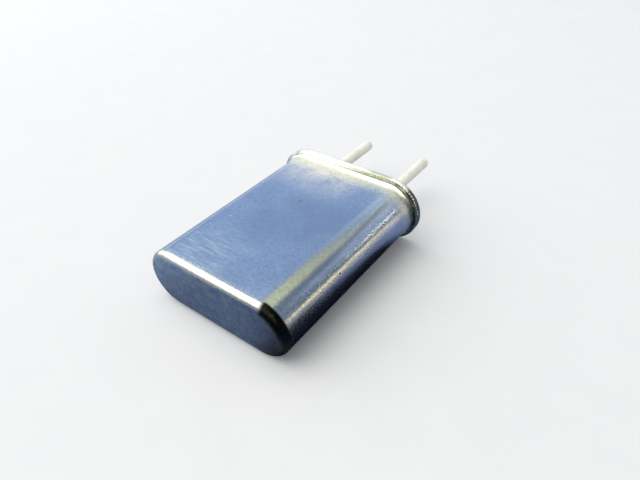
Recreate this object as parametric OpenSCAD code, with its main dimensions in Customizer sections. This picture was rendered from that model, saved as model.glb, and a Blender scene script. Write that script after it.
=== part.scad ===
// Quartz crystal unit: a drawn, resistance-welded metal can on a two-pin header.
// Inside, a bevelled quartz blank stands in two slotted spring clips.
// Millimetres. Each piece is drawn upright on its header, with the seating face at height 0
// and the pins below it, and is then laid on the can's broad side, with the pins along +Y.

/* [Can] */
// Width of the can body over its two round ends
can_w = 10.2; // [9.9:0.05:11.4]
// Thickness of the can body, which is also the diameter of its round ends
can_t = 3.7; // [3.4:0.05:4.2]
// Height from the seating face to the closed end
can_h = 13.4; // [12.9:0.1:16]
// Sheet thickness of the drawn can
wall = 0.25; // [0.18:0.01:0.3]
// Outside radius round the rim of the closed end
rim_r = 0.4; // [0.3:0.05:0.8]
// Outside radius where the wall turns out into the flange
root_r = 0.3; // [0.1:0.05:0.3]
// Inside radius where the mouth opens onto the flange
mouth_r = 0.3; // [0.1:0.05:0.4]

/* [Welded flange] */
// How far the flange stands out past the can wall, all round
flange_lip = 0.35; // [0.35:0.05:0.6]
// Thickness of the header's half of the flange
header_flange_t = 0.4; // [0.25:0.05:0.5]
// Rounding on the outer edges of both halves of the flange
flange_edge_r = 0.05; // [0.02:0.01:0.05]

/* [Header] */
// Height of the header from the seating face to the top of its plateau
header_h = 1.1; // [0.9:0.05:1.5]
// Gap between the plateau and the inside of the can, all round
plateau_gap = 0.1; // [0.05:0.01:0.2]
// Rounding on the top edge of the plateau
plateau_edge_r = 0.15; // [0.05:0.01:0.3]

/* [Glass seals] */
// Diameter of each glass bead, which fills its hole in the header
seal_d = 2; // [1.6:0.05:2.3]
// How deep the glass lies below the header's face at its edges
seal_recess = 0.03; // [0.02:0.01:0.06]
// Further depth of the dished glass between pin and hole
seal_dish = 0.08; // [0.03:0.01:0.12]

/* [Pins] */
// Distance between the two pin axes
pin_pitch = 4.88; // [4.6:0.02:5.1]
// Diameter of the plug-in part of a pin
pin_d = 0.76; // [0.7:0.01:1.02]
// Length of a pin below the seating face
pin_l = 6.4; // [4:0.1:12]
// Rounding of the pin's free end
pin_tip_r = 0.3; // [0.1:0.01:0.33]
// How far the pin's shoulder sinks into the glass
shoulder_h = 0.08; // [0.07:0.01:0.1]
// Diameter of the thinner post that runs on through the glass
post_d = 0.4; // [0.3:0.01:0.42]
// Height of the post's head above the plateau
post_rise = 0.8; // [0.5:0.05:1.5]
// Diameter of the nail head on the post
head_d = 0.9; // [0.7:0.05:1.1]
// Thickness of the nail head
head_t = 0.15; // [0.1:0.01:0.25]

/* [Quartz blank] */
// Gap between the edge of the round blank and the ends of the can's inside
blank_side_gap = 0.85; // [0.7:0.05:1.1]
// Thickness of the blank between its flat faces
blank_t = 0.3; // [0.2:0.01:0.45]
// Width of the bevel round its edge
bevel_w = 0.4; // [0.3:0.05:0.5]
// Drop of the bevel on each face
bevel_h = 0.06; // [0.03:0.01:0.08]
// Gap between the top of the blank and the inside of the closed end
blank_top_gap = 0.8; // [0.5:0.05:1.2]

/* [Electrodes] */
// Diameter of each silver electrode
electrode_d = 4.5; // [3.5:0.1:5.5]
// Thickness of the silver, with its tab
electrode_t = 0.03; // [0.02:0.01:0.05]
// Width of the tab that runs to the edge of the blank
tab_w = 0.9; // [0.5:0.05:1.2]

/* [Spring clips] */
// Thickness of the clip strip
clip_t = 0.12; // [0.08:0.01:0.16]
// Width of the clip strip at its foot and its jaw
clip_w = 1.5; // [1.2:0.05:1.8]
// Width of the strip at its waist, where it springs
waist_w = 0.8; // [0.6:0.05:1]
// Radius that shapes the waist
waist_r = 1.6; // [1.2:0.1:2]
// Length of the foot welded to the nail head
foot_l = 1; // [0.8:0.05:1.2]
// Radius of each bend, at the middle of the strip
bend_r = 0.3; // [0.2:0.05:0.5]
// Height of the jaw's straight part below the middle of the blank
jaw_drop = 2.2; // [1.9:0.1:2.6]
// Height of the jaw's tips above the middle of the blank
jaw_rise = 1.4; // [1.2:0.1:1.8]
// How far the edge of the blank reaches past the inner face of the jaw
jaw_bite = 0.18; // [0.14:0.01:0.24]
// Gap between each flat face of the blank and the slot
slot_gap = 0.03; // [0.02:0.01:0.06]

/* [Adhesive] */
// Diameter of each dot of conductive adhesive
dot_d = 1.1; // [0.95:0.05:1.3]

/* [Hidden] */
$fn = 72;

// Cuts pass this far beyond the faces that they open
past = 1;
// A bend in a strip laps this far over the straight runs that it joins
bend_lap = 0.01;
// The sector that cuts out a bend reaches this many times the bend's radius
sector_reach = 2;
left = -1;
right = 1;
front = 1;
back = -1;

// The can and the flange are round-ended: each is a profile carried round this straight core
core_w = can_w - can_t;
wall_r = can_t / 2;
cavity_r = wall_r - wall;
flange_r = wall_r + flange_lip;
plateau_r = cavity_r - plateau_gap;

// The blank's size, and heights above the seating face
can_flange_top = header_flange_t + wall;
cavity_top = can_h - wall;
cavity_rim_r = max(rim_r - wall, wall / 4);
head_top = header_h + post_rise;
blank_r = can_w / 2 - wall - blank_side_gap;
blank_z = cavity_top - blank_top_gap - blank_r;

pin_x = pin_pitch / 2;
pin_r = pin_d / 2;
post_r = post_d / 2;
seal_r = seal_d / 2;
waist_cut_y = waist_w / 2 + waist_r;
slot_w = blank_t + 2 * slot_gap;

// Middle line of the clip strip, out from the pin and then up to the jaw
foot_z = head_top + clip_t / 2;
jaw_x = blank_r - jaw_bite + clip_t / 2;
clip_path = [
    [pin_x - foot_l / 2, foot_z],
    [pin_x + foot_l / 2, foot_z],
    [jaw_x, blank_z - jaw_drop],
    [jaw_x, blank_z + jaw_rise]
];
waist_z = (foot_z + blank_z - jaw_drop) / 2;

// Depth below the middle of the blank at which its edge crosses the jaw's inner face
blank_foot = sqrt(blank_r * blank_r - (blank_r - jaw_bite) * (blank_r - jaw_bite));

// ---------- shared shapes ----------

// Turns an upright piece onto the can's broad side, with the flange's edge on the ground
module lay_flat() {
    translate([0, (can_h - pin_l) / 2, flange_r])
        rotate([90, 0, 0])
            children();
}

// Carries a half profile, drawn from the middle outwards, round the straight core
module round_ended() {
    for (side = [left, right])
        translate([side * core_w / 2, 0, 0])
            rotate([0, 0, -90 * side])
                rotate_extrude(angle = 180)
                    children();
    rotate([90, 0, 90])
        linear_extrude(core_w, center = true) {
            children();
            mirror([1, 0])
                children();
        }
}

// What a round of radius r leaves over in a square corner: the corner is at the origin,
// and the square lies towards dx and dy
module corner_waste(r, dx, dy) {
    translate([dx < 0 ? -r : 0, dy < 0 ? -r : 0])
        difference() {
            square(r);
            translate([dx < 0 ? 0 : r, dy < 0 ? 0 : r])
                circle(r);
        }
}

// Half profile of a plate from height z0 to z1, rounded at its upper or lower outer edge
module plate_profile(r, z0, z1, upper_r, lower_r) {
    difference() {
        translate([0, z0])
            square([r, z1 - z0]);
        if (upper_r > 0)
            translate([r, z1])
                corner_waste(upper_r, -1, -1);
        if (lower_r > 0)
            translate([r, z0])
                corner_waste(lower_r, -1, 1);
    }
}

// ---------- can ----------

module can_outside() {
    plate_profile(wall_r, header_flange_t, can_h, rim_r, 0);
    plate_profile(flange_r, header_flange_t, can_flange_top, flange_edge_r, flange_edge_r);
    translate([wall_r, can_flange_top])
        corner_waste(root_r, 1, 1);
}

module can_inside() {
    plate_profile(cavity_r, header_flange_t - past, cavity_top, cavity_rim_r, 0);
    translate([cavity_r, header_flange_t])
        corner_waste(mouth_r, 1, 1);
    translate([0, header_flange_t - past])
        square([cavity_r + mouth_r, past]);
}

module can() {
    color("lightsteelblue")
        lay_flat()
            round_ended()
                difference() {
                    can_outside();
                    can_inside();
                }
}

// ---------- header and its glass-sealed pins ----------

module header() {
    color("silver")
        lay_flat()
            difference() {
                round_ended() {
                    plate_profile(flange_r, 0, header_flange_t, flange_edge_r, flange_edge_r);
                    plate_profile(plateau_r, 0, header_h, plateau_edge_r, 0);
                }
                for (side = [left, right])
                    translate([side * pin_x, 0, -past])
                        cylinder(r = seal_r, h = header_h + 2 * past);
            }
}

// The sag of the glass between radius inner_r and the hole: a ring whose middle lies on the
// plane at height 0 and reaches down into the glass below it
module sag(inner_r) {
    ring_w = seal_r - inner_r;
    sag_r = (ring_w * ring_w / 4 + seal_dish * seal_dish) / (2 * seal_dish);
    translate([inner_r + ring_w / 2, sag_r - seal_dish])
        circle(sag_r);
}

// The glass is fused to the hole and to the pin, and its faces sag a little between them
module glass_seal(side) {
    translate([side * pin_x, 0, 0])
        rotate_extrude()
            difference() {
                translate([post_r, seal_recess])
                    square([seal_r - post_r, header_h - 2 * seal_recess]);
                translate([post_r - past, seal_recess - past])
                    square([pin_r - post_r + past, shoulder_h - seal_recess + past]);
                translate([0, seal_recess])
                    mirror([0, 1])
                        sag(pin_r);
                translate([0, header_h - seal_recess])
                    sag(post_r);
            }
}

module glass_seal_left() {
    color("darkolivegreen")
        lay_flat()
            glass_seal(left);
}

module glass_seal_right() {
    color("darkolivegreen")
        lay_flat()
            glass_seal(right);
}

// One turned wire: round tip, plug-in shank, thinner post through the glass, nail head
module pin(side) {
    translate([side * pin_x, 0, 0])
        rotate_extrude() {
            difference() {
                translate([0, -pin_l])
                    square([pin_r, pin_l + shoulder_h]);
                translate([pin_r, -pin_l])
                    corner_waste(pin_tip_r, -1, 1);
            }
            translate([0, shoulder_h])
                square([post_r, head_top - shoulder_h]);
            translate([0, head_top - head_t])
                square([head_d / 2, head_t]);
        }
}

module pin_left() {
    color("wheat")
        lay_flat()
            pin(left);
}

module pin_right() {
    color("wheat")
        lay_flat()
            pin(right);
}

// ---------- spring clips ----------

function unit(v) = v / norm(v);
function turn_at(a, b, c) = acos(unit(b - a) * unit(c - b));
function bend_reach(a, b, c) = bend_r * tan(turn_at(a, b, c) / 2);

// A straight run of the strip from p to q, seen edge-on
module strip_run(p, q) {
    translate(p)
        rotate(atan2(q[1] - p[1], q[0] - p[0]))
            translate([0, -clip_t / 2])
                square([norm(q - p), clip_t]);
}

// The bend at b between runs that come from a and leave for c, seen edge-on.
// It laps a little way over both runs, so that the strip is one piece
module strip_bend(a, b, c) {
    inward = unit(unit(a - b) + unit(c - b));
    centre = b + inward * bend_r / cos(turn_at(a, b, c) / 2);
    start = b + unit(a - b) * (bend_reach(a, b, c) + bend_lap);
    end = b + unit(c - b) * (bend_reach(a, b, c) + bend_lap);
    intersection() {
        translate(centre)
            difference() {
                circle(bend_r + clip_t / 2);
                circle(bend_r - clip_t / 2);
            }
        polygon([for (corner = [centre, start, b, end]) centre + sector_reach * (corner - centre)]);
    }
}

module clip_edge_view() {
    foot_in = clip_path[0];
    foot_out = clip_path[1];
    jaw_foot = clip_path[2];
    jaw_tip = clip_path[3];
    up = unit(jaw_foot - foot_out);
    first = bend_reach(foot_in, foot_out, jaw_foot);
    second = bend_reach(foot_out, jaw_foot, jaw_tip);
    strip_run(foot_in, foot_out - [first, 0]);
    strip_bend(foot_in, foot_out, jaw_foot);
    strip_run(foot_out + up * first, jaw_foot - up * second);
    strip_bend(foot_out, jaw_foot, jaw_tip);
    strip_run(jaw_foot + [0, second], jaw_tip);
}

// One bent strip: foot on the nail head, waisted spring arm, and a jaw slotted for the blank
module right_clip() {
    slot_foot = blank_z - blank_foot;
    difference() {
        rotate([90, 0, 0])
            linear_extrude(clip_w, center = true)
                clip_edge_view();
        for (edge = [front, back])
            translate([pin_x, edge * waist_cut_y, waist_z])
                rotate([0, 90, 0])
                    cylinder(r = waist_r, h = 2 * blank_r, center = true);
        translate([jaw_x - past, -slot_w / 2, slot_foot])
            cube([2 * past, slot_w, blank_foot + jaw_rise + past]);
        translate([jaw_x - past, 0, slot_foot])
            rotate([0, 90, 0])
                cylinder(d = slot_w, h = 2 * past);
    }
}

module clip(side) {
    if (side == right)
        right_clip();
    else
        mirror([1, 0, 0])
            right_clip();
}

module clip_left() {
    color("gainsboro")
        lay_flat()
            clip(left);
}

module clip_right() {
    color("gainsboro")
        lay_flat()
            clip(right);
}

// ---------- quartz blank, electrodes and adhesive ----------

// Stands the axis of a flat round piece along the can's thickness, at the blank's height
module on_blank() {
    translate([0, 0, blank_z])
        rotate([-90, 0, 0])
            children();
}

module blank() {
    half_t = blank_t / 2;
    on_blank()
        rotate_extrude()
            polygon([
                [0, -half_t],
                [blank_r - bevel_w, -half_t],
                [blank_r, bevel_h - half_t],
                [blank_r, half_t - bevel_h],
                [blank_r - bevel_w, half_t],
                [0, half_t]
            ]);
}

module quartz_blank() {
    color("aliceblue")
        lay_flat()
            blank();
}

// A silver disc on one face of the blank, with a tab to the clip on one side
module electrode(face, side) {
    on_blank()
        translate([0, 0, face * (blank_t + electrode_t) / 2])
            linear_extrude(electrode_t, center = true) {
                circle(electrode_d / 2);
                translate([side > 0 ? 0 : bevel_w - blank_r, -tab_w / 2])
                    square([blank_r - bevel_w, tab_w]);
            }
}

module electrode_front() {
    color("whitesmoke")
        lay_flat()
            electrode(front, right);
}

module electrode_back() {
    color("whitesmoke")
        lay_flat()
            electrode(back, left);
}

// A dot that wraps the edge of the blank in its slot and wets the clip and one tab
module adhesive(side) {
    difference() {
        translate([side * (blank_r - jaw_bite / 2), 0, blank_z])
            sphere(d = dot_d);
        blank();
        electrode(front, right);
        electrode(back, left);
        clip(side);
    }
}

module adhesive_left() {
    color("gray")
        lay_flat()
            adhesive(left);
}

module adhesive_right() {
    color("gray")
        lay_flat()
            adhesive(right);
}

can();
header();
glass_seal_left();
glass_seal_right();
pin_left();
pin_right();
clip_left();
clip_right();
quartz_blank();
electrode_front();
electrode_back();
adhesive_left();
adhesive_right();
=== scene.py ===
import math

import bpy
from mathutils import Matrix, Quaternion, Vector


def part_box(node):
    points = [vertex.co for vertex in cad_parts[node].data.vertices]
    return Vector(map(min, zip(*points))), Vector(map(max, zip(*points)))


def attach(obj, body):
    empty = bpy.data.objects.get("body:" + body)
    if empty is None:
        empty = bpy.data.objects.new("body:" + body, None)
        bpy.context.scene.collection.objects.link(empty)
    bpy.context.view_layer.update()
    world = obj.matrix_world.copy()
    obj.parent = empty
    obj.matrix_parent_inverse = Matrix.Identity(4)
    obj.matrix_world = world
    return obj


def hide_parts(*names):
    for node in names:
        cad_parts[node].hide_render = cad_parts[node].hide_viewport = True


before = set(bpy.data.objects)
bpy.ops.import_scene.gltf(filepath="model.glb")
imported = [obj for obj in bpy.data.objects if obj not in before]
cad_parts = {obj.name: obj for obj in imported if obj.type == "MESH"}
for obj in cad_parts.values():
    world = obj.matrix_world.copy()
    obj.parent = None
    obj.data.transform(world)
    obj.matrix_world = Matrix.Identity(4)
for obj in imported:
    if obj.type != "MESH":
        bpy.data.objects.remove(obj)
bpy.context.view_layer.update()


# ---------- header ----------
# The header is a stamped plate of iron-nickel alloy, plated with nickel: a flange with a raised
# plateau that fills the mouth of the can. The can is resistance-welded to the flange, and the
# flat outer face seats on the board.

# Sizes and places are in millimetres and angles in degrees, until a mesh or a tree takes them:
# x across, y along the pins and z up
MM = 0.001
FLANGE_LIP = 0.35
CAN_WALL = 0.25
PLATEAU_GAP = 0.1
PLATEAU_EDGE_R = 0.15
HEADER_BURR_R = 0.04
HEADER_ROLL = (12, 50)

header_low, header_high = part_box("header")
flange_r = header_high.z / MM / 2
axis_z = flange_r
core_half = header_high.x / MM - flange_r
seam_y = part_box("can")[1].y / MM
seat_y = header_high.y / MM
plateau_y = header_low.y / MM
plateau_r = flange_r - FLANGE_LIP - CAN_WALL - PLATEAU_GAP


class Reading:
    """What a node gives out. Sums on it are written as sums, and add their Math nodes."""

    def __init__(self, plan, socket):
        self.plan = plan
        self.socket = socket

    def __add__(self, other):
        return self.plan.sum("ADD", self, other)

    def __sub__(self, other):
        return self.plan.sum("SUBTRACT", self, other)

    def __rsub__(self, other):
        return self.plan.sum("SUBTRACT", other, self)

    def __mul__(self, other):
        return self.plan.sum("MULTIPLY", self, other)

    def __truediv__(self, other):
        return self.plan.sum("DIVIDE", self, other)

    def __abs__(self):
        return self.plan.sum("ABSOLUTE", self)

    __radd__ = __add__
    __rmul__ = __mul__

    def clamp(self, low, high):
        return self.plan.sum("MINIMUM", self.plan.sum("MAXIMUM", self, low), high)

    def rise(self, low, high):
        """0 up to low, 1 from high on, and a soft step between."""
        return self.plan.node(
            "ShaderNodeMapRange",
            {"interpolation_type": "SMOOTHSTEP"},
            {"Value": self, "From Min": low, "From Max": high},
        )

    def band(self, start, full, fade, end):
        """0 outside start and end, 1 from full to fade, and soft steps between."""
        return self.rise(start, full) * self.rise(end, fade)


class Plan:
    """A node tree, for a finish or for a way of forming metal."""

    def __init__(self, tree):
        self.tree = tree

    def feed(self, socket, value):
        if isinstance(value, Reading):
            self.tree.links.new(value.socket, socket)
        else:
            socket.default_value = value

    def node(self, kind, settings=(), inputs=(), output=0):
        """Adds a node: its settings first, then the values or links of its sockets."""
        made = self.tree.nodes.new(kind)
        for name, value in dict(settings).items():
            setattr(made, name, value)
        for name, value in dict(inputs).items():
            self.feed(made.inputs[name], value)
        return Reading(self, made.outputs[output])

    def sum(self, operation, *values):
        return self.node("ShaderNodeMath", {"operation": operation}, enumerate(values))

    def scaled(self, vector, share):
        return self.node(
            "ShaderNodeVectorMath", {"operation": "SCALE"}, {0: vector, "Scale": share}
        )

    def parts(self, vector):
        """The x, y and z of a vector."""
        split = self.tree.nodes.new("ShaderNodeSeparateXYZ")
        self.feed(split.inputs[0], vector)
        return [Reading(self, part) for part in split.outputs]


class Finish(Plan):
    """One finish: a material with the readings that its patterns start from, in millimetres."""

    def __init__(self, name, **constants):
        self.material = bpy.data.materials.new(name)
        self.material.use_nodes = True
        super().__init__(self.material.node_tree)
        self.shader = self.tree.nodes["Principled BSDF"]
        for socket, value in constants.items():
            self.shader.inputs[socket.replace("_", " ")].default_value = value
        self.place = self.stretched(1, 1, 1)
        self.x, self.y, self.z = self.parts(self.place)

    def stretched(self, x, y, z, turn=0):
        """The place on the piece in millimetres, scaled along each axis."""
        return self.node(
            "ShaderNodeMapping",
            {},
            {
                "Vector": self.node("ShaderNodeTexCoord", output="Object"),
                "Rotation": (0, 0, turn),
                "Scale": (x / MM, y / MM, z / MM),
            },
        )

    def distance(self, place, spot):
        """How far a place is from a spot."""
        return self.node(
            "ShaderNodeVectorMath", {"operation": "DISTANCE"}, {0: place, 1: spot}, "Value"
        )

    def cloud(self, scale, detail=2, place=None, roughness=0.5, distortion=0):
        """Soft random patches, about 1 / scale millimetres across, from 0 to 1."""
        return self.node(
            "ShaderNodeTexNoise",
            {},
            {
                "Vector": place or self.place,
                "Scale": scale,
                "Detail": detail,
                "Roughness": roughness,
                "Distortion": distortion,
            },
            "Fac",
        )

    def blend(self, share, first, second):
        """A colour between two others."""
        return self.node(
            "ShaderNodeMix",
            {"data_type": "RGBA", "clamp_factor": True},
            {0: share, 6: first, 7: second},
            2,
        )

    def layered(self, colour, *layers):
        """A colour with others laid over it in turn, each given with its share."""
        for share, layer in layers:
            colour = self.blend(share, colour, layer)
        return colour

    def relief(self, height, depth):
        """Tilts the surface as if height, from 0 to 1, stood depth millimetres high."""
        normal = self.node(
            "ShaderNodeBump", {}, {"Height": height, "Strength": 1, "Distance": depth * MM}
        )
        self.feed(self.shader.inputs["Normal"], normal)

    def coat(self, **sockets):
        """Feeds readings or values to the shader's own sockets."""
        for name, value in sockets.items():
            self.feed(self.shader.inputs[name.replace("_", " ")], value)

    def dress(self, *nodes):
        """Gives CAD nodes this finish."""
        for name in nodes:
            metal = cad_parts[name].data.materials
            metal.clear()
            metal.append(self.material)


PLATING_PALE = (0.93, 0.92, 0.87, 1)
PLATING_DULL = (0.8, 0.79, 0.72, 1)
WELD_TINT = (0.66, 0.6, 0.42, 1)
WELD_BURNT = (0.34, 0.35, 0.28, 1)
END_PAINTED_DARK = (0.14, 0.14, 0.115, 1)
SEAM_OLIVE = (0.17, 0.18, 0.08, 1)

plating = Finish("header_plating", Metallic=1)
blotches = plating.cloud(1.4, 4)
pitting = plating.cloud(16, 3)
# The weld's heat tinted the plate in patches from its seam inwards. It burnt one stretch of the
# upper edge to a grey olive and the seam by the right end olive. Both round ends are painted
# darker, the right one most: a painted dark reflection
heat = plating.y.rise(seat_y - 0.1, seat_y - 0.5) * plating.cloud(2.5, 2).rise(0.4, 0.75)
burnt = plating.x.band(0.8, 2.1, 3.1, 3.5) * plating.z.rise(axis_z + 1.8, axis_z + 1.9)
burnt = burnt * plating.y.rise(seat_y - 0.02, seat_y - 0.06)
# Painted dark reflection on both round ends, strongest at the right
ends = plating.x.rise(core_half + 1.05, core_half + 1.4) + 0.2 * plating.x.rise(-3.2, -3.7)
ends = ends * plating.y.rise(seat_y - 0.01, seat_y - 0.04)
seam = plating.x.band(-0.5, 1.5, 3.5, 4.1) * plating.y.rise(seam_y + 0.17, seam_y + 0.1)
plating_colour = plating.layered(
    PLATING_DULL,
    (blotches.rise(0.3, 0.75), PLATING_PALE),
    (0.85 * burnt, WELD_BURNT),
    (0.9 * seam, SEAM_OLIVE),
    (0.85 * ends, END_PAINTED_DARK),
    (0.7 * heat, WELD_TINT),
)
plating.coat(Base_Color=plating_colour, Roughness=0.28 + 0.12 * blotches + 0.1 * pitting)
plating.relief(pitting + 0.5 * plating.cloud(5, 2), 0.006)


class Forming(Plan):
    """A Geometry Nodes tree with named inputs, for a way of forming metal."""

    def __init__(self, name, inputs):
        super().__init__(bpy.data.node_groups.new(name, "GeometryNodeTree"))
        sockets = self.tree.interface
        for label, kind in inputs.items():
            sockets.new_socket(label, in_out="INPUT", socket_type="NodeSocket" + kind)
        sockets.new_socket("Piece", in_out="OUTPUT", socket_type="NodeSocketGeometry")
        self.given = self.tree.nodes.new("NodeGroupInput").outputs

    def asked(self, label):
        return Reading(self, self.given[label])

    def at(self, x, y, z):
        return self.node("ShaderNodeCombineXYZ", {}, {0: x, 1: y, 2: z})

    def moved(self, geometry, way, place):
        """Sets the Position of every point, or adds an Offset to it."""
        return self.node("GeometryNodeSetPosition", {}, {"Geometry": geometry, way: place})

    def smoothed(self, geometry):
        return self.node(
            "GeometryNodeSetShadeSmooth", {}, {"Geometry": geometry, "Shade Smooth": True}
        )

    def gives(self, geometry):
        """Ends the tree with plain geometry in the finish that is asked for."""
        plain = self.node("GeometryNodeRealizeInstances", {}, {"Geometry": geometry})
        dressed = self.node(
            "GeometryNodeSetMaterial", {}, {"Geometry": plain, "Material": self.asked("Finish")}
        )
        self.feed(self.tree.nodes.new("NodeGroupOutput").inputs[0], dressed)


# Header and can are both round-ended. This tree carries the section of either round its straight
# core: i counts steps round it, from the left end of its upper flat, and j counts points along
# the section. The skin then gets slight waves, from a given distance out
WAVE_EASE = 0.2 * MM
SHUT_GAP = 1e-4 * MM

drawing = Forming(
    "carry_round_core",
    {
        "Section": "Geometry",
        "Core half width": "Float",
        "Axis height": "Float",
        "Section points": "Int",
        "Straight steps": "Int",
        "Round steps": "Int",
        "Waves from": "Float",
        "Wave depth": "Float",
        "Wave scale": "Float",
        "Seed": "Float",
        "Finish": "Material",
    },
)
half_width, axis_height = drawing.asked("Core half width"), drawing.asked("Axis height")
straight, rounded = drawing.asked("Straight steps"), drawing.asked("Round steps")
points_along = drawing.asked("Section points")
waves_from = drawing.asked("Waves from")
steps_round = 2 * (straight + rounded)
sheet = drawing.node(
    "GeometryNodeMeshGrid",
    {},
    {
        "Size X": steps_round,
        "Size Y": points_along - 1,
        "Vertices X": steps_round + 1,
        "Vertices Y": points_along,
    },
)
grid_x, grid_y, _ = drawing.parts(drawing.node("GeometryNodeInputPosition"))
i = grid_x + steps_round / 2
j = grid_y + (points_along - 1) / 2
section_point = drawing.node(
    "GeometryNodeSampleIndex",
    {"data_type": "FLOAT_VECTOR", "clamp": True},
    {
        "Geometry": drawing.asked("Section"),
        "Value": drawing.node("GeometryNodeInputPosition"),
        "Index": drawing.node("FunctionNodeFloatToInt", {"rounding_mode": "ROUND"}, {0: j}),
    },
)
out, along, _ = drawing.parts(section_point)
upper_run = i.clamp(0, straight)
right_turn = (i - straight).clamp(0, rounded)
lower_run = (i - straight - rounded).clamp(0, straight)
left_turn = (i - 2 * straight - rounded).clamp(0, rounded)
core_x = half_width * (2 * (upper_run - lower_run) / straight - 1)
turn = math.pi / 2 - math.pi * (right_turn + left_turn) / rounded
out_x, out_z = out * drawing.sum("COSINE", turn), out * drawing.sum("SINE", turn)
carried = drawing.at(core_x + out_x, along, axis_height + out_z)
wrapped = drawing.moved(sheet, "Position", carried)
closed = drawing.node(
    "GeometryNodeMergeByDistance", {}, {"Geometry": wrapped, "Distance": SHUT_GAP}
)
closed_x, _, closed_z = drawing.parts(drawing.node("GeometryNodeInputPosition"))
past_core = drawing.sum("MAXIMUM", abs(closed_x) - half_width, 0)
skin_r = drawing.node(
    "ShaderNodeVectorMath",
    {"operation": "LENGTH"},
    {0: drawing.at(past_core, 0, closed_z - axis_height)},
    "Value",
)
swell = drawing.node(
    "ShaderNodeTexNoise",
    {"noise_dimensions": "4D"},
    {"W": drawing.asked("Seed"), "Scale": drawing.asked("Wave scale"), "Detail": 1.0},
)
waved_share = skin_r.rise(waves_from, waves_from + WAVE_EASE)
wave = (swell - 1) * waved_share * drawing.asked("Wave depth")
wave_offset = drawing.scaled(drawing.node("GeometryNodeInputNormal"), wave)
drawing.gives(drawing.smoothed(drawing.moved(closed, "Offset", wave_offset)))


def placed(name, data):
    """A new object in the scene."""
    obj = bpy.data.objects.new(name, data)
    bpy.context.scene.collection.objects.link(obj)
    return obj


def settled_mesh(obj):
    """An object's mesh with its modifiers worked out."""
    settled = obj.evaluated_get(bpy.context.evaluated_depsgraph_get())
    return bpy.data.meshes.new_from_object(settled)


def formed(name, start_points, forming, sizes):
    """Runs a forming tree on a row of points, and keeps the result as a plain mesh."""
    row = bpy.data.meshes.new(name + "_row")
    row.from_pydata([(x * MM, y * MM, 0) for x, y in start_points], [], [])
    blank = placed(name + "_row", row)
    step = blank.modifiers.new("forming", "NODES")
    step.node_group = forming.tree
    sockets = {item.name: item.identifier for item in forming.tree.interface.items_tree}
    for label, value in sizes.items():
        step[sockets[label]] = value
    mesh = settled_mesh(blank)
    bpy.data.objects.remove(blank)
    mesh.name = name
    return placed(name, mesh)


def run(start, end, steps, ease=0.02):
    """A straight stretch of a section, with close points by each end for its shading."""
    start, end = Vector(start), Vector(end)
    step_in = (end - start).normalized() * ease
    shares = [step / steps for step in range(1, steps)]
    middle = [start + step_in + (end - start - 2 * step_in) * share for share in shares]
    return [start, start + step_in, *middle, end - step_in]


def bend(centre, radius, start, end, steps):
    """A rounding of a section, from one angle to another, in degrees."""
    turns = [math.radians(start + (end - start) * step / steps) for step in range(steps)]
    return [Vector(centre) + radius * Vector((math.cos(t), math.sin(t))) for t in turns]


# The punch left a sharp edge on the seating side and rolled the other one down
roll_start, roll_end = (math.radians(angle) for angle in HEADER_ROLL)
burr = Vector((flange_r - HEADER_BURR_R, seat_y - HEADER_BURR_R))
roll_top = burr.y - HEADER_BURR_R * math.sin(roll_start)
roll_r = (roll_top - seam_y) / (math.sin(roll_end) - math.sin(roll_start))
roll = burr - (roll_r - HEADER_BURR_R) * Vector((math.cos(roll_start), -math.sin(roll_start)))
roll_foot = roll.x + roll_r * math.cos(roll_end)
plateau_edge = (plateau_r - PLATEAU_EDGE_R, plateau_y + PLATEAU_EDGE_R)
header_section = [
    *run((0, seat_y), (burr.x, seat_y), 6),
    *bend(burr, HEADER_BURR_R, 90, -HEADER_ROLL[0], 6),
    *bend(roll, roll_r, -HEADER_ROLL[0], -HEADER_ROLL[1], 12),
    *run((roll_foot, seam_y), (plateau_r, seam_y), 3),
    *run((plateau_r, seam_y), (plateau_r, plateau_edge[1]), 3),
    *bend(plateau_edge, PLATEAU_EDGE_R, 0, -90, 6),
    *run((plateau_edge[0], plateau_y), (0, plateau_y), 3),
    Vector((0, plateau_y)),
]
STRAIGHT_STEPS = 40
ROUND_STEPS = 72
WAVY_EDGE = 0.25

header_plate = formed(
    "header_plate",
    header_section[::-1],
    drawing,
    {
        "Core half width": core_half * MM,
        "Axis height": axis_z * MM,
        "Section points": len(header_section),
        "Straight steps": STRAIGHT_STEPS,
        "Round steps": ROUND_STEPS,
        "Waves from": (flange_r - WAVY_EDGE) * MM,
        "Wave depth": 0.022 * MM,
        "Wave scale": 2.6 / MM,
        "Seed": 2.0,
        "Finish": plating.material,
    },
)

# Two holes are punched for the glass, each as wide as its seal. The punch is a drum of two
# rings: it starts short of the plate's inner face and ends past its outer one
HOLE_STEPS = 96
PUNCH_SHORT = 1 * MM
PUNCH_LENGTH = 3 * MM

near_ring, far_ring = range(HOLE_STEPS), range(HOLE_STEPS, 2 * HOLE_STEPS)
drum = [
    (n + HOLE_STEPS, (n + 1) % HOLE_STEPS + HOLE_STEPS, (n + 1) % HOLE_STEPS, n)
    for n in near_ring
]
drum += [near_ring, far_ring[::-1]]
ring_angles = [2 * math.pi * n / HOLE_STEPS for n in near_ring]
for side in ("left", "right"):
    seal_low, seal_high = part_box("glass_seal_" + side)
    hole_x, hole_r = (seal_low.x + seal_high.x) / 2, (seal_high.x - seal_low.x) / 2
    rings = [
        (hole_x + hole_r * math.cos(a), punch_y, axis_z * MM + hole_r * math.sin(a))
        for punch_y in (seal_low.y - PUNCH_SHORT, seal_low.y - PUNCH_SHORT + PUNCH_LENGTH)
        for a in ring_angles
    ]
    punch_mesh = bpy.data.meshes.new("punch")
    punch_mesh.from_pydata(rings, [], drum)
    punch = placed("punch", punch_mesh)
    hole = header_plate.modifiers.new("hole", "BOOLEAN")
    hole.operation, hole.solver, hole.object = "DIFFERENCE", "EXACT", punch
    pierced = settled_mesh(header_plate)
    header_plate.modifiers.remove(hole)
    header_plate.data = pierced
    bpy.data.objects.remove(punch)
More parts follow.
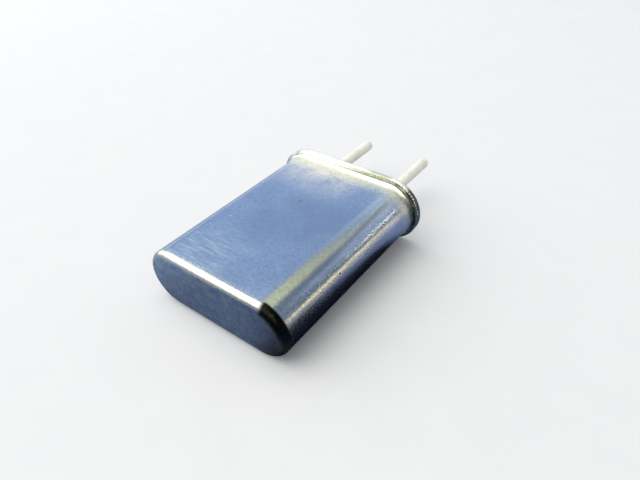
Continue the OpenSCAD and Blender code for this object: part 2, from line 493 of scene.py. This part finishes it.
header_plate.data.name = "header_plate"
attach(header_plate, "root")
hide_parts("header")


# ---------- glass seals ----------
# Each seal is a bead of dark grey-green glass, fused in a furnace to its hole in the header and
# to the pin that runs through it. Its faces sag a little between the two, and hold fine bubbles.

GLASS_DARK = (0.035, 0.05, 0.038, 1)
GLASS_GREEN = (0.09, 0.13, 0.095, 1)

glass = Finish("seal_glass", IOR=1.52, Coat_Roughness=0.03)
bubbles = glass.node(
    "ShaderNodeTexVoronoi", {"feature": "F1"}, {"Vector": glass.place, "Scale": 7}, "Distance"
).rise(0.12, 0.3)
streaks = glass.cloud(2.2, 3, distortion=1.5)
glass.coat(
    Base_Color=glass.blend(streaks.rise(0.35, 0.7), GLASS_DARK, GLASS_GREEN),
    Roughness=0.06 + 0.1 * streaks + 0.12 * (1 - bubbles),
    Coat_Weight=0.4,
)
glass.relief(bubbles, 0.012)
glass.dress("glass_seal_left", "glass_seal_right")


# ---------- pins ----------
# Each pin is a drawn wire of iron-nickel alloy with a pale tinned skin: a stout plug-in shank
# with a rounded tip, and a thinner post through the glass that ends in a nail head.

TIN_PALE = (0.97, 0.95, 0.82, 1)
TIN_WORN = (0.86, 0.81, 0.69, 1)

tin = Finish("pin_tin", Metallic=0.3)
drawn = tin.cloud(5, 3, tin.stretched(3, 0.15, 3))
worn = tin.cloud(1.8, 3)
tin.coat(
    Base_Color=tin.blend((0.5 * worn + 0.5 * drawn).rise(0.4, 0.6), TIN_PALE, TIN_WORN),
    Roughness=0.48 + 0.16 * worn + 0.08 * drawn,
)
tin.relief(drawn + 0.6 * tin.cloud(12, 2), 0.008)
tin.dress("pin_left", "pin_right")


# ---------- spring clips ----------
# Each clip is a bent strip of spring alloy, spot-welded to a pin's nail head. Its waist lets it
# give, and the slot in its upright jaw takes the edge of the quartz.

SPRING_BRIGHT = (0.74, 0.73, 0.7, 1)
SPRING_SHADE = (0.58, 0.57, 0.55, 1)

spring = Finish("spring_alloy", Metallic=1)
rolled = spring.cloud(6, 3, spring.stretched(0.4, 0.4, 3))
spring.coat(
    Base_Color=spring.blend(rolled, SPRING_SHADE, SPRING_BRIGHT),
    Roughness=0.25 + 0.15 * rolled,
)
spring.relief(rolled, 0.004)
spring.dress("clip_left", "clip_right")


# ---------- quartz blank ----------
# The blank is a round slice cut from a quartz crystal, lapped flat, bevelled at its edge and
# etched, so that it is clear with a faint haze. It is held only at two places on its edge.

QUARTZ_CLEAR = (0.93, 0.96, 0.98, 1)
QUARTZ_HAZE = (0.8, 0.85, 0.88, 1)

quartz = Finish("quartz_lapped", IOR=1.54, Transmission_Weight=0.85)
lapping = quartz.cloud(9, 3)
quartz.coat(
    Base_Color=quartz.blend(lapping, QUARTZ_HAZE, QUARTZ_CLEAR),
    Roughness=0.12 + 0.15 * lapping,
)
quartz.relief(lapping, 0.003)
quartz.dress("quartz_blank")


# ---------- electrodes ----------
# Each electrode is a film of silver, evaporated through a mask onto one face of the blank: a
# disc with a tab that runs out to the clip on one side.

SILVER_BRIGHT = (0.92, 0.91, 0.87, 1)
SILVER_TARNISH = (0.78, 0.74, 0.62, 1)

silver = Finish("electrode_silver", Metallic=1)
tarnish = silver.cloud(1.2, 4)
silver.coat(
    Base_Color=silver.blend(tarnish.rise(0.5, 0.9), SILVER_BRIGHT, SILVER_TARNISH),
    Roughness=0.16 + 0.12 * silver.cloud(14, 2),
)
silver.relief(silver.cloud(14, 2), 0.002)
silver.dress("electrode_front", "electrode_back")


# ---------- adhesive ----------
# Each dot is silver-filled resin, put on wet where the quartz stands in the jaw's slot and then
# baked hard. It joins blank, tab and clip, and its filler gives it a grey, grainy skin.

RESIN_GREY = (0.42, 0.41, 0.39, 1)
FILLER_FLAKE = (0.66, 0.65, 0.62, 1)

resin = Finish("adhesive_resin", Metallic=0.35)
flakes = resin.cloud(20, 2)
resin.coat(
    Base_Color=resin.blend(flakes.rise(0.45, 0.65), RESIN_GREY, FILLER_FLAKE),
    Roughness=0.5 + 0.2 * flakes,
)
resin.relief(flakes, 0.01)
resin.dress("adhesive_left", "adhesive_right")


# ---------- can ----------
# The can is deep-drawn from one disc of nickel-silver sheet: a flat closed end, a tight rounded
# rim, walls that are round at their narrow sides, and a flange turned out at the mouth. Drawing
# leaves a faint grain along it, slight waves in its skin and a duller end.

CAN_RIM_R = 0.4
CAN_LEAD_R = 1.1
CAN_LEAD = 14
CAN_ROOT_R = 0.4
CAN_MOUTH_R = 0.3
FLANGE_LEAN = 66
FLANGE_RIM = 0.14
FLANGE_RIM_TILT = 28
FLANGE_BACK_R = 0.025

can_end_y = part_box("can")[0].y / MM
wall_r = flange_r - FLANGE_LIP
flat_z = axis_z + wall_r


def facing(tilt):
    """The way a face points that is tilted from the side towards the closed end."""
    return Vector((math.cos(tilt), -math.sin(tilt)))


# The flange leans: a slow lead and a wide root bend turn it out, and a tight one ends it in its
# sheared rim, which leans too. Worked out from the rim back to the wall
lean, lead, tilt = (math.radians(angle) for angle in (FLANGE_LEAN, CAN_LEAD, FLANGE_RIM_TILT))
back = Vector((flange_r - FLANGE_BACK_R, seam_y - FLANGE_BACK_R))
rim_end = back + FLANGE_BACK_R * facing(tilt)
rim_start = rim_end - FLANGE_RIM * Vector((math.sin(tilt), math.cos(tilt)))
root_rise = CAN_ROOT_R * (math.cos(lead) - math.cos(lean))
edge_rise = rim_start.x - wall_r - CAN_LEAD_R * (1 - math.cos(lead)) - root_rise
edge_r = edge_rise / (math.cos(tilt) - math.cos(lean))
edge = rim_start - edge_r * facing(tilt)
root = edge + (CAN_ROOT_R + edge_r) * facing(lean)
lead_bend = root + (CAN_LEAD_R - CAN_ROOT_R) * facing(lead)
cavity_r = wall_r - CAN_WALL
cavity_end_y = can_end_y + CAN_WALL
cavity_rim_r = CAN_RIM_R - CAN_WALL
cavity_in = cavity_r - cavity_rim_r
mouth_r = cavity_r + CAN_MOUTH_R
mouth_y = seam_y - CAN_MOUTH_R
rim_in = wall_r - CAN_RIM_R
rim_y = can_end_y + CAN_RIM_R
can_section = [
    *run((0, can_end_y), (rim_in, can_end_y), 9),
    *bend((rim_in, rim_y), CAN_RIM_R, -90, 0, 16),
    *run((wall_r, rim_y), (wall_r, lead_bend.y), 60),
    *bend(lead_bend, CAN_LEAD_R, 180, 180 - CAN_LEAD, 6),
    *bend(root, CAN_ROOT_R, 180 - CAN_LEAD, 180 - FLANGE_LEAN, 14),
    *bend(edge, edge_r, -FLANGE_LEAN, -FLANGE_RIM_TILT, 8),
    *run(rim_start, rim_end, 3, 0.01),
    *bend(back, FLANGE_BACK_R, -FLANGE_RIM_TILT, 90, 8),
    *run((back.x, seam_y), (mouth_r, seam_y), 2),
    *bend((mouth_r, mouth_y), CAN_MOUTH_R, 90, 180, 6),
    *run((cavity_r, mouth_y), (cavity_r, rim_y), 6),
    *bend((cavity_in, rim_y), cavity_rim_r, 0, -90, 6),
    *run((cavity_in, cavity_end_y), (0, cavity_end_y), 3),
    Vector((0, cavity_end_y)),
]

NICKEL_SILVER = (0.66, 0.67, 0.67, 1)
NICKEL_SILVER_DIM = (0.57, 0.585, 0.6, 1)
MOTTLE_GREY = (0.42, 0.44, 0.47, 1)
PAINTED_GLINT_PALE = (1, 0.99, 0.93, 1)
DIM_PATCH = (0.08, 0.09, 0.11, 1)
STAIN_PALE = (0.86, 0.84, 0.75, 1)
YELLOW_TINT = (0.84, 0.82, 0.6, 1)
ROOT_OLIVE = (0.5, 0.49, 0.33, 1)
ROOT_PAINTED_DARK = (0.15, 0.155, 0.13, 1)
LEFT_DULL = (0.55, 0.55, 0.48, 1)
EDGE_OLIVE = (0.155, 0.165, 0.07, 1)
END_PAINTED_BLUE_GREY = (0.27, 0.33, 0.46, 1)
END_OLIVE = (0.74, 0.71, 0.56, 1)
END_PAINTED_SHADE = (0.1, 0.12, 0.14, 1)
RIM_WARM = (0.66, 0.55, 0.42, 1)
CORNER_PAINTED_DARK = (0.006, 0.0066, 0.0066, 1)
CORNER_PAINTED_OLIVE = (0.016, 0.0155, 0.0125, 1)
CORNER_PAINTED_BLUE = (0.05, 0.07, 0.12, 1)
SCRATCH_PALE = (0.95, 0.9, 0.66, 1)
SCRATCH_SLANT = math.radians(-8)
PIT_DARK = (0.05, 0.05, 0.055, 1)
SPECK_WHITE = (1, 1, 1, 1)
# Single marks: their places and their sizes
PITS = (
    (-0.39, -1.51, flat_z, 0.075),
    (4.85, -4.79, 3.13, 0.075),
    (1.9, -7.2, flat_z, 0.025),
    (-3.9, -3.2, flat_z, 0.03),
)
SPECKS = (
    (-2.93, -5.09, flat_z, 0.055),
    (-0.79, -6.04, flat_z, 0.03),
    (1.66, -3.99, flat_z, 0.03),
    (4.55, -2.91, 3.51, 0.05),
)

can_skin = Finish("can_skin")
grain = can_skin.cloud(8, 5, roughness=0.75)
draw_lines = can_skin.cloud(5, 3, can_skin.stretched(4, 0.12, 4))
patches = can_skin.cloud(0.45, 3, distortion=0.4)
mottle = can_skin.cloud(5, 4, roughness=0.8).rise(0.42, 0.64)
speckle = can_skin.cloud(14, 2).rise(0.4, 0.65)
# A faint darker patch over the upper flat, from its middle towards the right
dim_patch = can_skin.y.band(-8, -4, -1.5, 0.5) * can_skin.x.rise(-3, 0.5)

# Cloudy stains where the heat and water of the weld and the wash reached the flange: a thin
# dull film on the metal, heavier to the left, whiter towards the flange and full at its root
near_flange = can_skin.y.rise(-3, 2.8)
left_share = 0.12 * can_skin.x.rise(0, -2) * can_skin.y.rise(-1, 1.5)
off_far_left = 0.5 + 0.5 * can_skin.x.rise(-4.2, -2.8)
off_right = 1 - 0.85 * can_skin.x.rise(0.4, 2.4)
film = (
    0.5 * can_skin.cloud(0.55, 3, distortion=0.6)
    + 0.3 * can_skin.cloud(2.4, 5)
    + 0.2 * can_skin.cloud(9, 3)
).rise(0.28, 0.72)
stains = near_flange * near_flange * (0.25 + 0.85 * film) + left_share
stains = stains * off_far_left * off_right + 0.3 * can_skin.y.rise(1.5, 2.5)
stains = stains.clamp(0, 1) * abs(can_skin.z - axis_z).rise(0.4, 1.8)
stains = stains * can_skin.y.rise(2.9, 2.65)

# The flange's root is yellow, olive in patches round the right side, and dull round the left
# one. Further round the right side it is painted dark: a painted dark reflection. The sheared rim
# is olive to the right
yellow_root = can_skin.y.rise(1.7, 2.6)
olive_root = can_skin.x.rise(core_half + 0.75, core_half + 1.5) * can_skin.y.rise(2.5, 2.85)
olive_root = olive_root * (0.6 + 0.35 * can_skin.cloud(6, 3).rise(0.35, 0.65))
# Painted dark reflection round the right side of the root
painted_dark_root = can_skin.x.rise(core_half + 1.4, core_half + 1.8) * can_skin.y.rise(2.5, 2.75)
left_root = can_skin.x.rise(-core_half + 0.1, -core_half - 0.45) * can_skin.y.rise(2.5, 2.7)
rim_olive = can_skin.x.rise(-2.5, 2) * can_skin.y.rise(rim_start.y - 0.05, rim_start.y - 0.02)

# The closed end is duller: the punch and die rubbed it least. Its blue-grey with pale olive
# mottle is a painted dark reflection, and it is painted darker towards the right: painted shade
dull_end_painted = can_skin.y.rise(can_end_y + 0.08, can_end_y + 0.005)
fine_mottle = can_skin.cloud(11, 4, roughness=0.8)
end_mottle = (0.25 * can_skin.cloud(2.2, 3) + 0.75 * fine_mottle).rise(0.42, 0.6)
# Painted dark reflection on the closed end, with painted shade towards the right
end_painted_colour = can_skin.layered(
    END_PAINTED_BLUE_GREY, (end_mottle, END_OLIVE), (0.5 * can_skin.x.rise(1, 5), END_PAINTED_SHADE)
)

# A thin warm line runs where the end turns up into the rim. Along the rim's upper edge a pale
# yellow is painted in: a painted reflection, the fringe along the top of the rim's highlight
rim_line = can_skin.y.band(can_end_y + 0.01, can_end_y + 0.03, can_end_y + 0.1, can_end_y + 0.17)
rim_line = rim_line * can_skin.z.rise(axis_z, axis_z + 0.5)
# Painted yellow reflection along the rim's upper edge
rim_painted_fringe = can_skin.y.band(rim_y - 0.25, rim_y - 0.15, rim_y - 0.05, rim_y + 0.3)

# On the right side pale specks are painted into the colour: painted glints in its highlight.
# Both round sides are softer along their middle, and a thin dull film greys them above it, more
# towards the closed end
painted_glints = can_skin.cloud(9, 3, roughness=0.6).rise(0.52, 0.66)
painted_glints = painted_glints * can_skin.x.rise(core_half + 1.1, core_half + 1.35)
side_soft = abs(can_skin.x).rise(core_half + 1.4, core_half + 1.75)
side_film = side_soft * can_skin.z.rise(axis_z + 0.1, axis_z + 0.7) * can_skin.y.rise(-2, -7)
side_film = side_film * (1 - dull_end_painted) * can_skin.cloud(7, 4, roughness=0.75).rise(0.3, 0.65)

# The near corner of the rim on the right is painted dark, mottled olive and bluish lower down:
# a painted dark reflection
wander = can_skin.cloud(3, 2)
corner = (
    (can_skin.x + 0.12 * wander).rise(core_half + 0.12, core_half + 0.45)
    * can_skin.y.rise(rim_y + 0.2, rim_y + 0.08)
    * (can_skin.z + 0.4 * wander).rise(axis_z - 0.5, axis_z + 0.6)
)
from_round_axis = can_skin.distance(can_skin.stretched(1, 0, 1), (core_half, 0, axis_z))
corner = corner * (1 - dull_end_painted * from_round_axis.rise(rim_in + 0.1, rim_in - 0.35))
# Painted dark reflection for that corner
corner_painted_reflection = can_skin.layered(
    CORNER_PAINTED_DARK,
    (can_skin.cloud(5, 3).rise(0.35, 0.7), CORNER_PAINTED_OLIVE),
    (can_skin.z.rise(axis_z + 1, axis_z), CORNER_PAINTED_BLUE),
)

# Handling scratches: a fan of fine, wavy lines across the upper flat by the closed end
scratch_lines = can_skin.cloud(
    1, 3, can_skin.stretched(0.6, 10, 1, SCRATCH_SLANT), roughness=0.6
).rise(0.46, 0.64)
scratch_zone = (
    can_skin.z.rise(flat_z - 0.05, flat_z - 0.01)
    * can_skin.y.rise(-4.8, -7.6)
    * can_skin.x.rise(1.6, -1.6)
    * can_skin.cloud(0.9, 3).rise(0.1, 0.55)
)
scratches = scratch_lines * scratch_zone


def marks(spots):
    """1 inside any of the spots, 0 outside them."""
    found = 0
    for x, y, z, size in spots:
        found = found + can_skin.distance(can_skin.place, (x, y, z)).rise(size, 0.5 * size)
    return found


pits, specks = marks(PITS), marks(SPECKS)
skin_colour = can_skin.layered(
    NICKEL_SILVER_DIM,
    (patches.rise(0.3, 0.7), NICKEL_SILVER),
    (0.16 * dim_patch, DIM_PATCH),
    (stains, STAIN_PALE),
    (0.7 * yellow_root, YELLOW_TINT),
    (olive_root, ROOT_OLIVE),
    (0.85 * painted_dark_root, ROOT_PAINTED_DARK),
    (0.6 * left_root, LEFT_DULL),
    (0.95 * rim_olive, EDGE_OLIVE),
    (dull_end_painted, end_painted_colour),
    (0.7 * rim_line, RIM_WARM),
    (0.5 * rim_painted_fringe, YELLOW_TINT),
    (0.5 * mottle, MOTTLE_GREY),
    (0.55 * painted_glints, PAINTED_GLINT_PALE),
    (corner, corner_painted_reflection),
    (0.6 * scratches, SCRATCH_PALE),
    (pits, PIT_DARK),
    (specks, SPECK_WHITE),
)
# The shine is hazy over the rim of the closed end and along the flange's root
haze = 0.4 * can_skin.y.rise(rim_y + 0.35, rim_y) * (1 - dull_end_painted) * (1 - corner)
haze = haze + can_skin.y.band(1.2, 2.2, 2.7, 3) + 0.3 * rim_line
can_skin.coat(
    Base_Color=skin_colour,
    Metallic=1 - 0.85 * stains - 0.03 * side_film,
    Roughness=0.09
    + 0.04 * grain
    + 0.03 * patches
    + 0.08 * speckle
    + haze * (0.1 + 0.12 * speckle)
    + 0.16 * stains
    + 0.24 * dull_end_painted
    + 0.04 * scratch_zone
    + 0.1 * side_soft
    + 0.15 * corner
    + 0.3 * pits,
)
draw_depth = 0.5 - 0.35 * abs(can_skin.x).rise(core_half + 0.7, core_half + 1.1)
skin_height = grain * (1 + 0.3 * side_soft) + draw_depth * draw_lines
can_skin.relief(skin_height - 0.4 * scratches - 2 * pits + 1.5 * specks, 0.005)

can = formed(
    "can_drawn",
    can_section,
    drawing,
    {
        "Core half width": core_half * MM,
        "Axis height": axis_z * MM,
        "Section points": len(can_section),
        "Straight steps": STRAIGHT_STEPS,
        "Round steps": ROUND_STEPS,
        "Waves from": 0,
        "Wave depth": 0.003 * MM,
        "Wave scale": 0.7 / MM,
        "Seed": 4.0,
        "Finish": can_skin.material,
    },
)
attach(can, "root")
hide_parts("can")


# ---------- weld flash ----------
# The weld between the two flanges squeezes out tiny beads of molten metal all round, which
# freeze in the groove between the flanges' edges. They are the metal of the header and the can.

BEAD_GAP = 0.21
BEAD_R = 0.085
BEAD_LEAST = 0.8
BEAD_STRAY = 0.025
BEAD_IN = 0.115
BEAD_BEYOND = 0.1
BEAD_BRIGHT = (1, 1, 0.95, 1)
BEAD_BURNT = (0.8, 0.78, 0.62, 1)

weld_metal = Finish("weld_metal", Metallic=0.15)
scale_spots = weld_metal.cloud(3, 2)
weld_metal.coat(
    Base_Color=weld_metal.blend(scale_spots.rise(0.4, 0.65), BEAD_BRIGHT, BEAD_BURNT),
    Roughness=0.22 + 0.15 * scale_spots,
)
weld_metal.relief(weld_metal.cloud(16, 2), 0.004)

# This tree puts a bead on each point of a row, strayed from it and squeezed a little at random
squeezing = Forming(
    "squeeze_out_beads",
    {
        "Row": "Geometry",
        "Bead radius": "Float",
        "Least size": "Float",
        "Size seed": "Int",
        "Stray": "Float",
        "Stray seed": "Int",
        "Finish": "Material",
    },
)


def scattered(low, high, seed_label):
    """A random vector between two others."""
    return squeezing.node(
        "FunctionNodeRandomValue",
        {"data_type": "FLOAT_VECTOR"},
        {"Min": low, "Max": high, "Seed": squeezing.asked(seed_label)},
    )


least = squeezing.asked("Least size")
bead_sizes = scattered(squeezing.at(least, least, least), (1, 1, 1), "Size seed")
stray_ways = scattered((-1, -1, -1), (1, 1, 1), "Stray seed")
stray = squeezing.scaled(stray_ways, squeezing.asked("Stray"))
strayed = squeezing.moved(squeezing.asked("Row"), "Offset", stray)
bead = squeezing.node(
    "GeometryNodeMeshIcoSphere",
    {},
    {"Radius": squeezing.asked("Bead radius"), "Subdivisions": 2},
)
beads = squeezing.node(
    "GeometryNodeInstanceOnPoints",
    {},
    {"Points": strayed, "Instance": squeezing.smoothed(bead), "Scale": bead_sizes},
)
squeezing.gives(beads)


def round_the_flange(radius, gap):
    """Places one gap apart on a line round the can, as x and z, in millimetres."""
    straight_l, round_l = 2 * core_half, math.pi * radius
    whole = 2 * (straight_l + round_l)
    count = round(whole / gap)
    places = []
    for n in range(count):
        s = whole * n / count
        side, s = (1, s) if s < whole / 2 else (-1, s - whole / 2)
        if s < straight_l:
            places.append((side * (s - core_half), side * radius))
        else:
            a = (s - straight_l) / radius
            places.append((side * (core_half + radius * math.sin(a)), side * radius * math.cos(a)))
    return places


flash = formed(
    "weld_flash",
    round_the_flange(flange_r - BEAD_IN, BEAD_GAP),
    squeezing,
    {
        "Bead radius": BEAD_R * MM,
        "Least size": BEAD_LEAST,
        "Size seed": 7,
        "Stray": BEAD_STRAY * MM,
        "Stray seed": 11,
        "Finish": weld_metal.material,
    },
)
# The row was laid flat. Standing it up in the seam mirrors it, so its faces are flipped after
for vertex in flash.data.vertices:
    x, z, off = vertex.co
    vertex.co = (x, (seam_y + BEAD_BEYOND) * MM + off, axis_z * MM + z)
flash.data.flip_normals()
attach(flash, "root")


# ---------- floor ----------
# The part lies on a plain pale board. It rests on its flange's edge and on the lower rounding
# of its closed end, so the board is sloped by the small angle that touches both.

BOARD_HALF = 900
BOARD_PALE = (0.8, 0.8, 0.81, 1)
BOARD_FLECK = (0.76, 0.765, 0.78, 1)

flange_foot = Vector((back.y, FLANGE_BACK_R))
end_foot = Vector((rim_y, axis_z - wall_r + CAN_RIM_R))
reach = end_foot - flange_foot
slope = math.atan2(reach.y, -reach.x) - math.asin((CAN_RIM_R - FLANGE_BACK_R) / reach.length)
up = Vector((math.sin(slope), math.cos(slope)))
touch = flange_foot - up * FLANGE_BACK_R


def rectangle(x_low, y_low, x_high, y_high):
    """The corners of a rectangle, in order round it."""
    return (x_low, y_low), (x_high, y_low), (x_high, y_high), (x_low, y_high)


def flat_sheet(name, corners, finish):
    """A flat piece of the studio, which isn't part of the object."""
    mesh = bpy.data.meshes.new(name)
    mesh.from_pydata(corners, [], [(0, 1, 2, 3)])
    mesh.materials.append(finish.material)
    sheet = placed(name, mesh)
    return sheet


board_paint = Finish("board_paint", Roughness=0.85, Specular_IOR_Level=0)
fleck = board_paint.cloud(0.35, 3)
board_paint.coat(Base_Color=board_paint.blend(fleck, BOARD_PALE, BOARD_FLECK))
flat_sheet(
    "board",
    [
        (x * MM, (touch.x + y * math.cos(slope)) * MM, (touch.y - y * math.sin(slope)) * MM)
        for x, y in rectangle(-BOARD_HALF, -BOARD_HALF, BOARD_HALF, BOARD_HALF)
    ],
    board_paint,
)


# ---------- studio ----------
# Soft panels light the part, and cards that only its reflections see stand round it. Each is
# given by its direction from the part's middle, azimuth from +Y towards +X and then elevation,
# and by the angles that it fills.

MIDDLE = Vector((0, -3.5, 2.2))
PANEL_FAR = 400
LAMP_WHITE = (1, 0.985, 0.95)
ROOM_DIM = (0.5, 0.51, 0.52, 1)
ROOM_BLUE = (0.19, 0.26, 0.36, 1)
ROOM_PALE = (0.7, 0.705, 0.72, 1)


def half_size(distance, *angles):
    """Half the length that fills each angle from a distance."""
    return [distance * math.tan(math.radians(angle / 2)) for angle in angles]


def aimed(obj, azimuth, elevation, distance, roll=0):
    """Stands an object off in a direction, facing the part, and hides it from the camera."""
    a, e = math.radians(azimuth), math.radians(elevation)
    way = Vector((math.sin(a) * math.cos(e), math.cos(a) * math.cos(e), math.sin(e)))
    rolled_over = Quaternion((0, 0, 1), math.radians(roll))
    obj.location = (MIDDLE + way * distance) * MM
    obj.rotation_mode = "QUATERNION"
    obj.rotation_quaternion = way.to_track_quat("Z", "Y") @ rolled_over
    obj.visible_camera = False


def panel(name, azimuth, elevation, width, height, colour, brightness, roll=0):
    """A soft light that fills a given angular width and height."""
    half_w, half_h = half_size(PANEL_FAR, width, height)
    lamp = bpy.data.lights.new(name, "AREA")
    lamp.shape = "RECTANGLE"
    lamp.size = 2 * half_w * MM
    lamp.size_y = 2 * half_h * MM
    lamp.color = colour
    lamp.energy = brightness * math.pi * lamp.size * lamp.size_y
    aimed(placed(name, lamp), azimuth, elevation, PANEL_FAR, roll)


panel("left_softbox", -118, 50, 62, 72, LAMP_WHITE, 1.85)
panel("left_low", -91, 4, 42, 22, LAMP_WHITE, 1.5)
panel("gold_gap", -71, 59, 30, 11, (1, 0.96, 0.72), 1)
panel("left_gap", -78, 31, 18, 30, (1, 0.97, 0.88), 0.8)
panel("crest_glow", 10, 75, 12, 12, (1, 0.98, 0.93), 1.7)
panel("cool_back", -50, 24, 40, 52, (0.32, 0.51, 1), 0.54)
panel("pale_back", -8, 38, 26, 20, (0.55, 0.72, 1), 0.7)
panel("far_glow", 19, 32, 20, 16, (1, 0.98, 0.93), 0.45)
panel("warm_near", 55, 8.5, 15, 4, (1, 0.78, 0.36), 2.75, roll=-22)
panel("warm_far", 46, 5, 6, 9, (1, 0.88, 0.84), 0.85)
panel("bright_line", 41, 19, 11, 0.8, (1, 0.96, 0.82), 9)
panel("brown_strip", 17, 48, 14, 4, (1, 0.96, 0.78), 0.42)
panel("far_blue", 39, 32, 16, 16, (0.5, 0.66, 1), 0.52)
panel("olive_strip", -8, 62, 33, 21, (0.95, 0.92, 0.34), 0.55)

# The room is dim, bluish where the metal sees it and pale behind the board
room = bpy.data.worlds.new("room")
room.use_nodes = True
room_plan = Plan(room.node_tree)


def seen_by(ray, first, second):
    """A colour of the room that changes to a second one for one kind of ray."""
    share = room_plan.node("ShaderNodeLightPath", output=ray)
    colours = {0: share, 6: first, 7: second}
    return room_plan.node("ShaderNodeMix", {"data_type": "RGBA"}, colours, 2)


room_plan.feed(
    room.node_tree.nodes["Background"].inputs["Color"],
    seen_by("Is Camera Ray", seen_by("Is Glossy Ray", ROOM_DIM, ROOM_BLUE), ROOM_PALE),
)
bpy.context.scene.world = room


def card(name, corners, finish):
    """A matt sheet that only the metal's reflections see."""
    sheet = flat_sheet(name, corners, finish)
    sheet.visible_camera = sheet.visible_diffuse = sheet.visible_shadow = False
    return sheet


def hung_card(name, azimuth, elevation, distance, half_w, half_h, finish):
    """A card that faces the part from a direction."""
    corners = [(x * MM, y * MM, 0) for x, y in rectangle(-half_w, -half_h, half_w, half_h)]
    aimed(card(name, corners, finish), azimuth, elevation, distance)


# Behind the camera hangs dark paper, a little lighter at its top and lighter still at its foot
BEHIND_FAR = 350
CARD_DARK = (0.045, 0.045, 0.04, 1)
CARD_GREY = (0.17, 0.18, 0.19, 1)
CARD_LOW = (0.3, 0.325, 0.36, 1)

half_w, half_h = half_size(BEHIND_FAR, 100, 84)
paper = Finish("card_paper", Roughness=1, Base_Color=(0, 0, 0, 1), Emission_Strength=1)
paper.coat(
    Emission_Color=paper.layered(
        CARD_DARK,
        (paper.y.rise(-60, 260), CARD_GREY),
        (paper.y.rise(-110, -200), CARD_LOW),
    )
)
hung_card("camera_side", 128, 42, BEHIND_FAR, half_w, half_h, paper)

# Over the closed end hangs a white card that fades to grey towards its edges
FRONT_FAR = 300
FRONT_GLOW = 2.2
CARD_FADE = 30
CARD_WHITE = (1, 0.985, 0.95, 1)

half_w, half_h = half_size(FRONT_FAR, 88, 58)
front_paper = Finish(
    "front_paper", Roughness=1, Base_Color=(0, 0, 0, 1), Emission_Strength=FRONT_GLOW
)
off_ends = abs(front_paper.y).rise(half_h, half_h - CARD_FADE)
off_sides = abs(front_paper.x).rise(half_w, half_w - CARD_FADE)
front_paper.coat(Emission_Color=front_paper.blend(off_ends * off_sides, CARD_GREY, CARD_WHITE))
hung_card("front_card", 166, 54, FRONT_FAR, half_w, half_h, front_paper)

# Round its foot the metal reflects dark blue cloth in place of the pale board. It is lighter
# beyond the part, darkest where the part shades it and lit to the left
CLOTH_LIFT = 0.03
CLOTH_REACH = (-32, -160, 160, 20)
CLOTH_BLUE = (0.105, 0.16, 0.3, 1)
CLOTH_FAR = (0.205, 0.275, 0.49, 1)
CLOTH_SHADED = (0.006, 0.009, 0.022, 1)
CLOTH_LIT = (0.24, 0.36, 0.54, 1)

cloth = Finish("cloth_weave", Roughness=1, Specular_IOR_Level=0)
shaded = (cloth.y - 0.6 * cloth.x).rise(1, -13) + cloth.x.rise(10, 7) * cloth.y.rise(4, 1)
shaded = (shaded * cloth.x.rise(2, 5)).clamp(0, 1)
cloth.coat(
    Base_Color=cloth.layered(
        CLOTH_BLUE,
        (cloth.y.rise(-5, 3), CLOTH_FAR),
        (shaded, CLOTH_SHADED),
        ((cloth.x + 0.3 * cloth.y).rise(-7, -12), CLOTH_LIT),
    )
)
card(
    "foot_cloth",
    [
        (x * MM, y * MM, (touch.y - (y - touch.x) * math.tan(slope) + CLOTH_LIFT) * MM)
        for x, y in rectangle(*CLOTH_REACH)
    ],
    cloth,
)

CAMERA_AT = Vector((16.7881, -21.8353, 22.2628))
CAMERA_RIGHT = Vector((0.804551, 0.593098, -0.030543))
CAMERA_UP = Vector((-0.353086, 0.519055, 0.778404))
CAMERA_LENS = 29.1287

lens = bpy.data.cameras.new("camera")
lens.lens = CAMERA_LENS
lens.sensor_width = 36
lens.clip_start = 0.001
lens.clip_end = 10
camera = placed("camera", lens)
camera_back = CAMERA_RIGHT.cross(CAMERA_UP)
for row in range(3):
    camera.matrix_world[row][0] = CAMERA_RIGHT[row]
    camera.matrix_world[row][1] = CAMERA_UP[row]
    camera.matrix_world[row][2] = camera_back[row]
    camera.matrix_world[row][3] = CAMERA_AT[row] * MM
bpy.context.scene.camera = camera
bpy.context.scene.view_settings.view_transform = "Standard"
